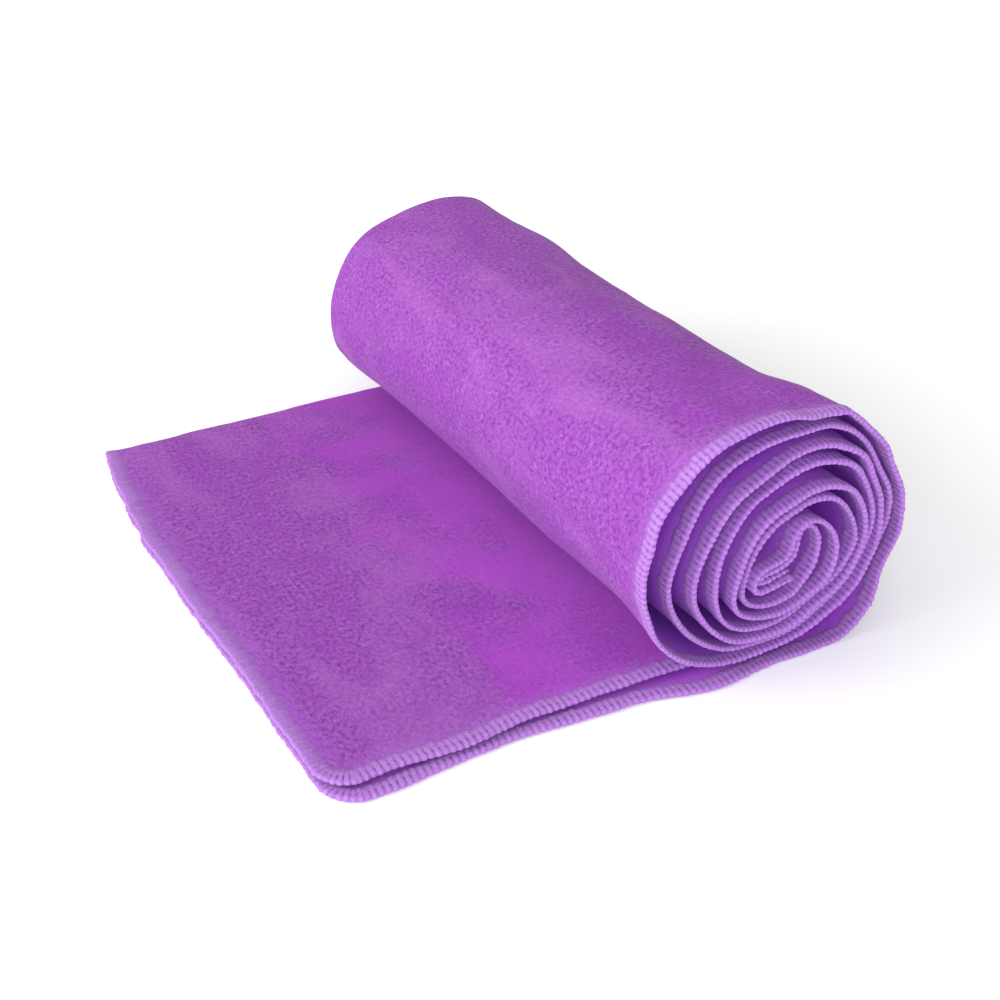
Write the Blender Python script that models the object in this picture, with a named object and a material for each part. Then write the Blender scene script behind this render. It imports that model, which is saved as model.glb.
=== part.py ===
"""A microfibre towel, folded in half lengthwise and rolled up from one short end.

The cloth lies with its free end flat and its other end wound into a roll. Every shape is worked out in
millimetres and stored in metres. +X runs from the free end towards the roll, +Y from the two hemmed long
edges towards the fold, +Z up. The origin is on the underside of the cloth, below the middle of the roll.
"""

import math

import bmesh
import bpy
from mathutils import Vector

MM = 0.001

# The folded towel
FOLD_Y = 125.0  # outside of the lengthwise fold
LOWER_EDGE_Y = -129.0  # hemmed long edge of the lower ply
UPPER_EDGE_Y = -121.0  # hemmed long edge of the upper ply, which lies a little further in
END_EDGE_Y = -126.5  # the same edge at the free end
ROLL_EDGE_Y = -127.5  # the same edge inside the roll
EDGE_DRAWN = 1.6  # radians of winding over which it gets there
CLOTH_THICK = 0.9
FOLD_DEPTH = 2.6  # how far the bend at the fold reaches along Y
FOLD_STEPS = 6

# The overlocked hem: a channel of thread round the raw edge
HEM_WIDTH = 7.0
HEM_WALL = 0.3
HEM_GAP = 0.2  # between thread and cloth
HEM_WEB = 0.6  # thread standing outside the raw edge
EDGE_INSET = HEM_WEB + 0.3  # raw edge of the cloth, in from the outside of the hem
HEM_RAISE = HEM_WALL + HEM_GAP  # the lower ply rises this much at its hem, so that the hem lies on the floor
RAISE_FROM = 13.0  # distances in from the edge between which that rise fades out
RAISE_TO = 18.0
RAISE_UNTIL = 0.7  # angle of the winding at which the rise starts to end, off the floor
RAISE_FADE = 0.8
CORE_HEM_STEPS = (2.4, 3.9, 5.4)  # where the hem in the core bends with the cloth

# The roll, seen along +Y: angle 0 is straight down and 90 degrees is towards +X
# How far the winding reaches to each side, at every half turn from the outside inwards
REACH_RIGHT = (51.8, 46.8, 43.2, 39.8, 36.8, 33.2, 28.8, 24.0, 19.0)
REACH_LEFT = (-66.0, -56.0, -44.8, -36.0, -28.4, -20.5, -13.5, -11.0, -9.0)
REACH_TOP = (95.0, 88.6, 83.2, 76.0, 69.4, 61.8, 58.0, 53.6, 50.0)
REACH_BOTTOM = (-7.0, 2.8, 6.0, 8.8, 12.4, 15.6, 18.8, 23.2, 28.0)
SQUARENESS = 1.1  # of the outermost turn: 1 is an ellipse
SHOULDER = 0.03  # the fuller lower corner away from the free end
SHOULDER_AT = math.radians(38)
SHOULDER_WIDTH = math.radians(16)
SLOPE = 0.078  # the flatter upper corner on the same side
SLOPE_AT = math.radians(124)
SLOPE_WIDTH = math.radians(22)
LEAN = math.radians(16)  # how far the inner turns lean over to the right
LEAN_FROM = 2.8  # turns over which they come to lean
PLY_LIFT = 2.7  # height of one ply in the flattened stack below the roll
FLOOR_SOFT = 3.0
FLAT_START = 1.1  # radians over which the winding begins
STEPS_PER_TURN = 24

# The core: the middle line of the doubled cloth, from the last full turn to its end
CORE_TURNS = 3.0
CORE_BENDS = (
    (13.4, 25.6),
    (18.6, 30.8),
    (21.0, 37.6),
    (19.6, 45.0),
    (15.6, 50.4),
    (10.4, 51.0),
    (7.2, 47.4),
    (7.0, 42.4),
    (5.8, 38.8),
    (2.6, 37.0),
    (-1.2, 36.9),
    (-5.0, 36.9),
    (-7.1, 36.0),
    (-8.0, 34.0),
    (-7.1, 32.0),
    (-5.0, 31.1),
    (-1.4, 31.0),
    (2.6, 31.3),
    (6.6, 32.2),
)
CORE_LEAD = 0.55  # radians back to the point that sets the way the core starts
CORE_GAP = 2.6  # between the middles of the two plies, after the wide bend at the start
CORE_WIDE = 6.6
CORE_STEPS = 3  # stations for each bend

# The free end
TAIL_END_X = -158.5
END_BULGE = 6.0
CORNER_R = 12.0
CORNER_STEPS = 5
TAIL_GAP = 3.4  # between the middles of the two plies
HINGE_X = (-22.0, -45.0, -68.0, -91.0, -114.0, -137.0)
HINGE_GAP = 1.3
HINGE_Z = CLOTH_THICK / 2 + 0.75 * TAIL_GAP  # the hinge lines lie nearer to the ply on the inside of the bend

CLOTH_LIGHT = (0.43, 0.107, 0.62, 1.0)
HEM_LIGHT = (0.51, 0.263, 0.75, 1.0)

FLOOR_Z = CLOTH_THICK / 2
SPIRAL_END = 2 * math.pi * CORE_TURNS
LOWER_FLAT = FOLD_Y - FOLD_DEPTH - LOWER_EDGE_Y
UPPER_FLAT = FOLD_Y - FOLD_DEPTH - UPPER_EDGE_Y
FOLD_SPAN = math.pi * FOLD_DEPTH / 2
ACROSS = LOWER_FLAT + FOLD_SPAN + UPPER_FLAT


def blend(a, b, share):
    return a + (b - a) * share


def ease(x):
    x = min(max(x, 0.0), 1.0)
    return x * x * (3.0 - 2.0 * x)


def pressed(z, floor):
    """z kept above the floor, with a soft bend where it meets it."""
    above = z - floor
    if above <= -FLOOR_SOFT:
        return floor
    if above >= FLOOR_SOFT:
        return z
    return floor + (above + FLOOR_SOFT) ** 2 / (4.0 * FLOOR_SOFT)


def curve_through(points, place):
    """A smooth curve through the points: place 0 is the first and each whole number the next."""
    last = len(points) - 1
    i = min(max(int(math.floor(place)), 0), last - 1)
    t = place - i
    p0, p1, p2, p3 = (points[min(max(k, 0), last)] for k in (i - 1, i, i + 1, i + 2))
    bend = 2.0 * p0 - 5.0 * p1 + 4.0 * p2 - p3
    twist = 3.0 * p1 - p0 - 3.0 * p2 + p3
    return p1 + 0.5 * t * (p2 - p0 + t * (bend + t * twist))


def smooth_along(points, place):
    """A curve with no sudden bends that keeps close to the points: place 1 is near the second of them."""
    last = len(points) - 1
    i = min(max(int(math.floor(place)), 1), last - 1)
    t = place - i
    p0, p1, p2, p3 = (points[min(k, last)] for k in (i - 1, i, i + 1, i + 2))
    total = (1.0 - t) ** 3 * p0 + (3.0 * t**3 - 6.0 * t**2 + 4.0) * p1
    total += (1.0 + 3.0 * t + 3.0 * t**2 - 3.0 * t**3) * p2 + t**3 * p3
    return total / 6.0


def near(angle, middle, width):
    """1 at the middle angle, fading to 0 on both sides."""
    off = (angle - middle + math.pi) % (2 * math.pi) - math.pi
    return math.exp(-((off / width) ** 2))


def outer_shape(angle):
    """Sideways and upward share of the outermost turn, each within -1 and 1."""
    full = 1.0 + SHOULDER * near(angle, SHOULDER_AT, SHOULDER_WIDTH)
    full -= SLOPE * near(angle, SLOPE_AT, SLOPE_WIDTH)
    sine = math.sin(angle)
    cosine = math.cos(angle)
    power = 2.0 * SQUARENESS
    size = (abs(sine) ** power + abs(cosine) ** power) ** (-1.0 / power)
    return full * size * sine, -full * size * cosine


def wound(angle, turns):
    """The point of the roll's spiral at an angle, after so many turns inwards from the outside."""
    right, left, top, bottom = (
        curve_through(reach, 2.0 * turns)
        for reach in (REACH_RIGHT, REACH_LEFT, REACH_TOP, REACH_BOTTOM)
    )
    inner = ease(turns / LEAN_FROM)
    outer_x, outer_z = outer_shape(angle)
    share_x = blend(outer_x, math.sin(angle), inner)
    share_z = blend(outer_z, -math.cos(angle + LEAN), inner)
    x = (right + left) / 2 + share_x * (right - left) / 2
    z = (top + bottom) / 2 + share_z * (top - bottom) / 2
    return x, pressed(z, FLOOR_Z + 2.0 * PLY_LIFT * turns)


def flat_station(x):
    start, _ = wound(0.0, 0.0)
    return x - start


def between_plies(angle):
    """Middle of the doubled cloth in the winding."""
    ax, az = wound(angle, angle / (2 * math.pi))
    bx, bz = wound(angle, angle / (2 * math.pi) + 0.5)
    return (ax + bx) / 2, (az + bz) / 2


def core_line(place):
    """Middle line of the doubled cloth in the core. The winding is its start."""
    before = between_plies(SPIRAL_END - CORE_LEAD)
    start = between_plies(SPIRAL_END)
    after = CORE_BENDS[0]
    held = [(6.0 * b - a - c) / 4.0 for a, b, c in zip(before, start, after)]
    points = [before, held, *CORE_BENDS]
    return [smooth_along([p[k] for p in points], place + 1.0) for k in (0, 1)]


def core_ply(station, side):
    """One ply of the core: side 1 is the lower ply's, -1 the upper ply's."""
    place = station - SPIRAL_END
    x0, z0 = core_line(place - 0.05)
    x1, z1 = core_line(place + 0.05)
    size = math.hypot(x1 - x0, z1 - z0)
    ax, az = wound(SPIRAL_END, CORE_TURNS)
    bx, bz = wound(SPIRAL_END, CORE_TURNS + 0.5)
    gap = blend(math.hypot(bx - ax, bz - az), CORE_WIDE, ease(place / 2.0))
    gap = blend(gap, CORE_GAP, ease((place - 2.5) / 3.0))
    x, z = core_line(place)
    return x + side * gap / 2 * (z1 - z0) / size, z - side * gap / 2 * (x1 - x0) / size


def lower_point(station):
    """Middle of the lower ply.

    A station under 0 is mm along the flat part, over 0 an angle in the roll, and past the last full turn
    it counts the bends of the core.
    """
    start, _ = wound(0.0, 0.0)
    if station <= 0.0:
        return start + station, FLOOR_Z
    if station > SPIRAL_END:
        return core_ply(station, 1)
    turns = station / (2 * math.pi) * ease(station / FLAT_START)
    return wound(station, turns)


def upper_point(station):
    """Middle of the upper ply at the same station: half a turn further in than the lower one."""
    if station > SPIRAL_END:
        return core_ply(station, -1)
    x, z = wound(max(station, 0.0), max(station, 0.0) / (2 * math.pi) + 0.5)
    if station > 0.0:
        return x, z
    start, _ = wound(0.0, 0.0)
    share = ease(1.0 + station / (start - HINGE_X[0]))
    return blend(start, x, share) + station, blend(FLOOR_Z + TAIL_GAP, z, share)


def facing(point, station):
    """Unit normal of a ply's line in the XZ plane, pointing out of the roll."""
    step = 0.02 if station > 0.0 else 0.5
    x0, z0 = point(station - step)
    x1, z1 = point(station + step)
    size = math.hypot(x1 - x0, z1 - z0)
    return (z1 - z0) / size, -(x1 - x0) / size


def raised(inward):
    return HEM_RAISE * min(max((RAISE_TO - inward) / (RAISE_TO - RAISE_FROM), 0.0), 1.0)


def upper_y(station, across):
    from_end = (station - flat_station(TAIL_END_X)) / (HINGE_X[1] - TAIL_END_X)
    edge = blend(END_EDGE_Y, UPPER_EDGE_Y, min(max(from_end, 0.0), 1.0))
    edge = blend(edge, ROLL_EDGE_Y, ease(station / EDGE_DRAWN))
    return blend(FOLD_Y - FOLD_DEPTH, edge, (across - LOWER_FLAT - FOLD_SPAN) / UPPER_FLAT)


def cloth_point(station, across, lift=0.0):
    """A point of the cloth. across runs over the lower ply, round the fold and back over the upper ply.

    lift is the distance from the middle of the cloth towards the side that shows.
    """
    ax, az = lower_point(station)
    bx, bz = upper_point(station)
    anx, anz = facing(lower_point, station)
    bnx, bnz = facing(upper_point, station)
    at_end = raised(station - flat_station(TAIL_END_X))
    if across <= LOWER_FLAT:
        out = lift - max(raised(across), at_end) * (1.0 - ease((station - RAISE_UNTIL) / RAISE_FADE))
        return Vector((ax + anx * out, LOWER_EDGE_Y + across, az + anz * out))
    if across >= LOWER_FLAT + FOLD_SPAN:
        return Vector((bx - bnx * lift, upper_y(station, across), bz - bnz * lift))
    turn = (across - LOWER_FLAT) / FOLD_SPAN * math.pi
    share = (1.0 - math.cos(turn)) / 2
    nx = blend(anx, bnx, share) * math.cos(turn)
    nz = blend(anz, bnz, share) * math.cos(turn)
    x = blend(ax, bx, share) + nx * lift
    z = blend(az + at_end, bz, share) + nz * lift
    y = FOLD_Y - FOLD_DEPTH + (FOLD_DEPTH - CLOTH_THICK / 2 + lift) * math.sin(turn)
    return Vector((x, y, z))


def bulged(point, end_x):
    """The free end's short edge bows outwards. The bow fades out towards the last hinge."""
    share = ease((HINGE_X[-1] - point.x) / (HINGE_X[-1] - end_x))
    bow = END_BULGE * (1.0 - (point.y / FOLD_Y) ** 2)
    return Vector((point.x - bow * share, point.y, point.z))


def loft(name, sections, material):
    """One closed solid through loops of points, capped at both ends."""
    mesh = bpy.data.meshes.new(name)
    shape = bmesh.new()
    rings = [[shape.verts.new(p * MM) for p in section] for section in sections]
    count = len(rings[0])
    for first, second in zip(rings, rings[1:]):
        for i in range(count):
            j = (i + 1) % count
            shape.faces.new((first[i], first[j], second[j], second[i]))
    shape.faces.new(rings[0][::-1])
    shape.faces.new(rings[-1])
    bmesh.ops.recalc_face_normals(shape, faces=shape.faces)
    bmesh.ops.triangulate(shape, faces=shape.faces, ngon_method="EAR_CLIP")
    shape.to_mesh(mesh)
    shape.free()
    mesh.materials.append(material)
    obj = bpy.data.objects.new(name, mesh)
    bpy.context.scene.collection.objects.link(obj)
    return obj


def fabric(name, colour, roughness):
    material = bpy.data.materials.new(name)
    material.use_nodes = True
    shader = material.node_tree.nodes["Principled BSDF"]
    shader.inputs["Base Color"].default_value = colour
    shader.inputs["Roughness"].default_value = roughness
    shader.inputs["Metallic"].default_value = 0.0
    material.diffuse_color = colour
    return material


def across_steps(first, last):
    """Where a section of the cloth has points, from one raw edge to the other."""
    fold = [LOWER_FLAT + FOLD_SPAN * i / FOLD_STEPS for i in range(FOLD_STEPS + 1)]
    inner = [RAISE_FROM, RAISE_TO] + fold + [ACROSS - RAISE_FROM]
    return [first] + inner + [last]


def cloth_section(station, first, last, move=None):
    half = CLOTH_THICK / 2
    steps = across_steps(first, last)
    outside = [cloth_point(station, a, half) for a in steps]
    inside = [cloth_point(station, a, -half) for a in reversed(steps)]
    ring = outside + inside
    return [move(p) for p in ring] if move else ring


def hem_profile(between=()):
    """The channel's outline as (distance in from the outside of the hem, distance off the cloth).

    between holds further distances at which both walls have points, so they can follow a curve.
    """
    half = CLOTH_THICK / 2 + HEM_GAP
    full = half + HEM_WALL
    outer = [0.0, *between, HEM_WIDTH]
    inner = [HEM_WEB, *between, HEM_WIDTH]
    under = [(d, -full) for d in outer] + [(d, -half) for d in reversed(inner)]
    over = [(d, half) for d in inner] + [(d, full) for d in reversed(outer)]
    return under + over


def long_hem(name, stations, upper, material):
    """The hem along one long edge."""
    sections = []
    for station in stations:
        ring = []
        for inward, lift in hem_profile():
            across = ACROSS - inward if upper else inward
            ring.append(cloth_point(station, across, lift))
        sections.append(ring)
    return loft(name, sections, material)


def short_hem(name, path, material, move=None, between=()):
    """A hem that follows a path of (station, across, inward station, inward across) over the cloth."""
    sections = []
    for station, across, in_station, in_across in path:
        ring = []
        for inward, lift in hem_profile(between):
            point = cloth_point(station + in_station * inward, across + in_across * inward, lift)
            ring.append(move(point) if move else point)
        sections.append(ring)
    return loft(name, sections, material)


def arc_per_mm(station):
    """Radians of station for each mm along the cloth in the roll."""
    x0, z0 = lower_point(station - 0.01)
    x1, z1 = lower_point(station + 0.01)
    return 0.02 / math.hypot(x1 - x0, z1 - z0)


def build_roll(cloth, thread):
    end = SPIRAL_END + len(CORE_BENDS)
    turning = [2 * math.pi * (i + 1) / STEPS_PER_TURN for i in range(round(STEPS_PER_TURN * CORE_TURNS))]
    bending = [SPIRAL_END + (i + 1) / CORE_STEPS for i in range(CORE_STEPS * len(CORE_BENDS))]
    winding = turning + bending
    per_mm = arc_per_mm(end)
    before = end - (HEM_WIDTH + 1.5) * per_mm
    under_hem = [end - inward * per_mm for inward in (HEM_WIDTH, *CORE_HEM_STEPS[::-1], EDGE_INSET)]
    flat = [flat_station(HINGE_X[0] + HINGE_GAP / 2), flat_station(HINGE_X[0] / 2), 0.0]
    stations = flat + [w for w in winding if w < before - 0.05] + [before]
    first = EDGE_INSET
    last = ACROSS - EDGE_INSET
    sections = [cloth_section(s, first, last) for s in stations + under_hem]
    loft("roll_cloth", sections, cloth)
    long_hem("roll_hem_lower", stations, False, thread)
    long_hem("roll_hem_upper", stations, True, thread)
    reach = [0.0, HEM_WIDTH] + across_steps(0.0, ACROSS)[1:-1] + [ACROSS - HEM_WIDTH, ACROSS]
    path = [(end, a, -per_mm, 0.0) for a in reach]
    short_hem("core_end_hem", path, thread, between=(EDGE_INSET, *CORE_HEM_STEPS))


def tail_middle_panel(number, right, left, cloth, thread):
    stations = [flat_station(right), flat_station(left)]
    first = EDGE_INSET
    last = ACROSS - EDGE_INSET
    pieces = [
        loft(f"tail_cloth_{number}", [cloth_section(s, first, last) for s in stations], cloth),
        long_hem(f"tail_hem_lower_{number}", stations, False, thread),
        long_hem(f"tail_hem_upper_{number}", stations, True, thread),
    ]
    return pieces


def tail_end_panel(number, right, cloth, thread):
    """The last panel, with rounded corners and one hem that runs round all three of its free edges."""
    end = flat_station(TAIL_END_X)
    start = flat_station(right)
    radius = CORNER_R
    quarter = [math.pi / 2 * i / CORNER_STEPS for i in range(CORNER_STEPS + 1)]
    inner = radius - EDGE_INSET

    def move(point):
        return bulged(point, TAIL_END_X)

    straight = (start, end + RAISE_TO, end + RAISE_FROM)
    sections = [cloth_section(s, EDGE_INSET, ACROSS - EDGE_INSET, move) for s in straight]
    for angle in quarter:
        station = end + radius - inner * math.sin(angle)
        trim = radius - inner * math.cos(angle)
        sections.append(cloth_section(station, trim, ACROSS - trim, move))
    panel = loft(f"tail_cloth_{number}", sections, cloth)

    path = [(s, 0.0, 0.0, 1.0) for s in straight]
    for angle in quarter:
        sine = math.sin(angle)
        cosine = math.cos(angle)
        path.append((end + radius - radius * sine, radius - radius * cosine, sine, cosine))
    path += [(end, a, 1.0, 0.0) for a in across_steps(0.0, ACROSS)[1:-1]]
    for angle in reversed(quarter):
        sine = math.sin(angle)
        cosine = math.cos(angle)
        path.append((end + radius - radius * sine, ACROSS - radius + radius * cosine, sine, -cosine))
    path += [(s, ACROSS, 0.0, -1.0) for s in reversed(straight)]
    return [panel, short_hem("tail_end_hem", path, thread, move)]


def hinge_at(number, x, parent):
    """An empty on a hinge line, which the panel beyond the line hangs from."""
    empty = bpy.data.objects.new(f"hinge_{number}", None)
    empty.location = Vector((x, 0.0, HINGE_Z)) * MM
    bpy.context.scene.collection.objects.link(empty)
    bpy.context.view_layer.update()
    if parent:
        empty.parent = parent
        empty.matrix_parent_inverse = parent.matrix_world.inverted()
    bpy.context.view_layer.update()
    return empty


def build_tail(cloth, thread):
    parent = None
    for i, x in enumerate(HINGE_X):
        number = i + 1
        right = x - HINGE_GAP / 2
        if number < len(HINGE_X):
            pieces = tail_middle_panel(number, right, HINGE_X[number] + HINGE_GAP / 2, cloth, thread)
        else:
            pieces = tail_end_panel(number, right, cloth, thread)
        parent = hinge_at(number, x, parent)
        for piece in pieces:
            piece.parent = parent
            piece.matrix_parent_inverse = parent.matrix_world.inverted()


for old in list(bpy.data.objects):
    bpy.data.objects.remove(old, do_unlink=True)

suede = fabric("suede", CLOTH_LIGHT, 0.9)
overlock = fabric("overlock_thread", HEM_LIGHT, 0.75)
build_roll(suede, overlock)
build_tail(suede, overlock)
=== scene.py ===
"""The looks of a microfibre towel, folded in half lengthwise and rolled up from one short end.

The cloth is one surface: a line wound in the XZ plane for each of its two plies, drawn out along Y, with
the fold on the far side. Every shape is worked out in millimetres and stored in metres. A place on the
cloth is (station, across). Station is negative on the free end, in mm from the start of the roll, then the
angle wound in radians, then one unit from each of the core's points to the next. Across runs from the near
edge of the lower ply, round the fold, back to the near edge of the upper ply, in mm.
"""

import math
import bpy
import numpy as np
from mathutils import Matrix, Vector


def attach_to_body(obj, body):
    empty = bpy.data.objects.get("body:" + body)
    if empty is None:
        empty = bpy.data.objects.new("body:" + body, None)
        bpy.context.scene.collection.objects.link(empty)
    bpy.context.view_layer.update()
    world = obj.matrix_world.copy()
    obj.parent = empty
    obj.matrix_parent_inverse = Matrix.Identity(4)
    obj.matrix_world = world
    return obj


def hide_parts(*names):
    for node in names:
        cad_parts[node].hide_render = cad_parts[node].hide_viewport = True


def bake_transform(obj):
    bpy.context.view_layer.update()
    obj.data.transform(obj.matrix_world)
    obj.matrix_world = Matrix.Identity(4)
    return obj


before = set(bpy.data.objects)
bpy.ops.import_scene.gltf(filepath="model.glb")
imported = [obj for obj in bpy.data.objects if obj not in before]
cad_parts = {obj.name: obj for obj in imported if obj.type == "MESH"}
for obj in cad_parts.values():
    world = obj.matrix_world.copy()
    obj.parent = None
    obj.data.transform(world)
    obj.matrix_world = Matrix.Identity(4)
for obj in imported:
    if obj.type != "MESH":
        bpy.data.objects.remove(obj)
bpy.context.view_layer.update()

MM = 0.001

# The folded towel, in mm
FOLD_Y = 125.0
LOWER_EDGE_Y = -129.0  # the near edge of the lower ply
UPPER_EDGE_Y = -121.0  # the near edge of the upper ply beside the roll
END_EDGE_Y = -126.5  # the same at the free end
ROLL_EDGE_Y = -127.5  # the same in the roll
EDGE_DRAWN = 1.6  # the angle over which it gets there
CLOTH_THICK = 0.9
HALF = CLOTH_THICK / 2
FOLD_DEPTH = 2.6
LOWER_FLAT = FOLD_Y - FOLD_DEPTH - LOWER_EDGE_Y
UPPER_FLAT = FOLD_Y - FOLD_DEPTH - UPPER_EDGE_Y
FOLD_SPAN = math.pi * FOLD_DEPTH / 2
ACROSS = LOWER_FLAT + FOLD_SPAN + UPPER_FLAT

# The hem
EDGE_INSET = 0.9  # the cloth ends this far inside the thread
HEM_RAISE = 0.5  # the hem is thicker than the cloth, so the cloth beside it stands off the floor
RAISE_FROM = 13.0
RAISE_TO = 18.0
RAISE_UNTIL = 0.7  # in the roll this fades out from here on
RAISE_FADE = 0.8
TAIL_STITCH = 2.4  # from one stitch to the next
ROLL_STITCH = 2.05
CORE_HEM = 8.0  # depth at the core's end over which mm are turned into station
BLURRED = 0.35  # how clear the stitches of the short edge are: 1 is fully
BLURRED_FROM = 10.0  # past the start of the corner
BLURRED_OVER = 16.0

# The roll: reach to each side at every half turn from the outside inwards
REACH_RIGHT = (51.8, 46.8, 43.2, 39.8, 36.8, 33.2, 28.8, 24.0, 19.0)
REACH_LEFT = (-66.0, -56.0, -44.8, -36.0, -28.4, -20.5, -13.5, -11.0, -9.0)
REACH_TOP = (95.0, 88.6, 83.2, 76.0, 69.4, 61.8, 58.0, 53.6, 50.0)
REACH_BOTTOM = (-7.0, 2.8, 6.0, 8.8, 12.4, 15.6, 18.8, 23.2, 28.0)
SQUARENESS = 1.1  # of the outermost turn: 1 is round
SHOULDER = 0.03  # it stands out at the lower right
SHOULDER_AT = math.radians(38)
SHOULDER_WIDTH = math.radians(16)
SLOPE = 0.078  # it is flatter at the upper right
SLOPE_AT = math.radians(124)
SLOPE_WIDTH = math.radians(22)
LEAN = math.radians(16)  # of the inner turns
LEAN_FROM = 2.8  # full from this turn inwards
PLY_LIFT = 2.7  # at the bottom every ply is at least this much higher than the one outside it
FLOOR_SOFT = 3.0  # how gently a turn bends where it meets the floor
FLAT_START = 1.1  # from this angle on the lower ply winds inwards evenly
FLOOR_Z = HALF

# The core: the middle line of the doubled cloth, from the last full turn to its end
CORE_TURNS = 3.0
CORE_BENDS = (
    (13.4, 25.6),
    (18.6, 30.8),
    (21.0, 37.6),
    (19.6, 45.0),
    (15.6, 50.4),
    (10.4, 51.0),
    (7.2, 47.4),
    (7.0, 42.4),
    (5.8, 38.8),
    (2.6, 37.0),
    (-1.2, 36.9),
    (-5.0, 36.9),
    (-7.1, 36.0),
    (-8.0, 34.0),
    (-7.1, 32.0),
    (-5.0, 31.1),
    (-1.4, 31.0),
    (2.6, 31.3),
    (6.6, 32.2),
)
CORE_LEAD = 0.55  # the core's line starts this angle before the winding ends
CORE_WIDE = 6.6  # from ply to ply where the core starts
CORE_WIDE_BY = 2.0  # points in from the winding
CORE_GAP = 2.6  # from ply to ply further in
CORE_GAP_FROM = 2.5
CORE_GAP_OVER = 3.0
SPIRAL_END = 2 * math.pi * CORE_TURNS
CLOTH_END = SPIRAL_END + len(CORE_BENDS)
CORE_RIM = CLOTH_END - 0.12  # the cloth ends here, inside the hem

# Past the near end of the roll its inner turns move this far, from these stations on
TIGHT_LEFT = 7.0
TIGHT_UP = 2.5
INNER_UP = 6.0
TIGHT_LOWER_FROM = 6.0
TIGHT_UPPER_FROM = 1.5
TIGHT_OVER = 2.5
TIGHT_FROM_Y = -112.0
TIGHT_OVER_Y = 75.0

# The free end
TAIL_END_X = -158.5
END_BULGE = 4.6  # its short edge bows out this far, and further towards the fold
END_SKEW = 4.0
CORNER_R = 12.0
TAIL_GAP = 3.4  # from ply to ply
HINGE_X = (-22.0, -45.0, -68.0, -91.0, -114.0, -137.0)
SPLIT_X = (-10.5, -33.5, -56.5, -79.5, -102.5, -125.5, -148.5)  # middles of the panels: pieces meet here
PANELS = len(HINGE_X)


def ease(x):
    x = np.clip(x, 0.0, 1.0)
    return x * x * (3.0 - 2.0 * x)


def mixed(a, b, share):
    return a + (b - a) * share


def curve_through(points, place):
    """A curve through the points: place 0 is the first, 1 the second."""
    points = np.asarray(points, float)
    last = len(points) - 1
    i = np.clip(np.floor(place).astype(int), 0, last - 1)
    t = np.clip(place - i, 0.0, 1.0)
    beyond = place - i - t
    p0 = points[np.maximum(i - 1, 0)]
    p1 = points[i]
    p2 = points[i + 1]
    p3 = points[np.minimum(i + 2, last)]
    bend = 2.0 * p0 - 5.0 * p1 + 4.0 * p2 - p3
    twist = 3.0 * p1 - p0 - 3.0 * p2 + p3
    return p1 + 0.5 * t * (p2 - p0 + t * (bend + t * twist)) + beyond * (p2 - p1)


def smooth_along(points, place):
    """A curve with no sudden bends that keeps close to the points: place 1 is near the second of them."""
    last = len(points) - 1
    i = np.clip(np.floor(place).astype(int), 1, last - 1)
    t = np.clip(place - i, 0.0, 1.0)
    beyond = place - i - t
    p0 = points[i - 1]
    p1 = points[i]
    p2 = points[i + 1]
    p3 = points[np.minimum(i + 2, last)]
    total = (1.0 - t) ** 3 * p0 + (3.0 * t**3 - 6.0 * t**2 + 4.0) * p1
    total = total + (1.0 + 3.0 * t + 3.0 * t**2 - 3.0 * t**3) * p2 + t**3 * p3
    return total / 6.0 + beyond * (p3 - p1) / 2.0


def near(angle, middle, width):
    """1 at the middle, fading out over about width on both sides."""
    off = (angle - middle + math.pi) % (2 * math.pi) - math.pi
    return np.exp(-((off / width) ** 2))


def pressed(z, floor):
    """Height kept up by a floor, with a soft bend where it gets there."""
    above = z - floor
    soft = floor + (above + FLOOR_SOFT) ** 2 / (4.0 * FLOOR_SOFT)
    return np.where(above <= -FLOOR_SOFT, floor, np.where(above >= FLOOR_SOFT, z, soft))


def outer_shape(angle):
    """x and z of the outermost turn, as shares of its reach. The angle starts downwards and goes right."""
    full = 1.0 + SHOULDER * near(angle, SHOULDER_AT, SHOULDER_WIDTH)
    full = full - SLOPE * near(angle, SLOPE_AT, SLOPE_WIDTH)
    sine = np.sin(angle)
    cosine = np.cos(angle)
    power = 2.0 * SQUARENESS
    size = (np.abs(sine) ** power + np.abs(cosine) ** power) ** (-1.0 / power)
    return full * size * sine, -full * size * cosine


def wound(angle, turns):
    """x and z of the winding. The angle says which way from its middle, and turns how far in."""
    angle = np.asarray(angle, float)
    turns = np.asarray(turns, float)
    right, left, top, bottom = (
        curve_through(reach, 2.0 * turns) for reach in (REACH_RIGHT, REACH_LEFT, REACH_TOP, REACH_BOTTOM)
    )
    inner = ease(turns / LEAN_FROM)
    outer_x, outer_z = outer_shape(angle)
    share_x = mixed(outer_x, np.sin(angle), inner)
    share_z = mixed(outer_z, -np.cos(angle + LEAN), inner)
    x = (right + left) / 2 + share_x * (right - left) / 2
    z = (top + bottom) / 2 + share_z * (top - bottom) / 2
    return x, pressed(z, FLOOR_Z + 2.0 * PLY_LIFT * turns)


ROLL_START_X = float(wound(0.0, 0.0)[0])


def flat_station(x):
    return x - ROLL_START_X


def core_points():
    """Points that the middle line of the doubled cloth in the core keeps to. The winding is its start."""
    points = []
    for angle in (SPIRAL_END - CORE_LEAD, SPIRAL_END):
        ax, az = wound(angle, angle / (2 * math.pi))
        bx, bz = wound(angle, angle / (2 * math.pi) + 0.5)
        points.append(((ax + bx) / 2, (az + bz) / 2))
    points = np.array([*points, *CORE_BENDS], float)
    # smooth_along then passes through the end of the winding
    points[1] = (6.0 * points[1] - points[0] - points[2]) / 4.0
    return points


CORE_LINE = core_points()


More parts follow.
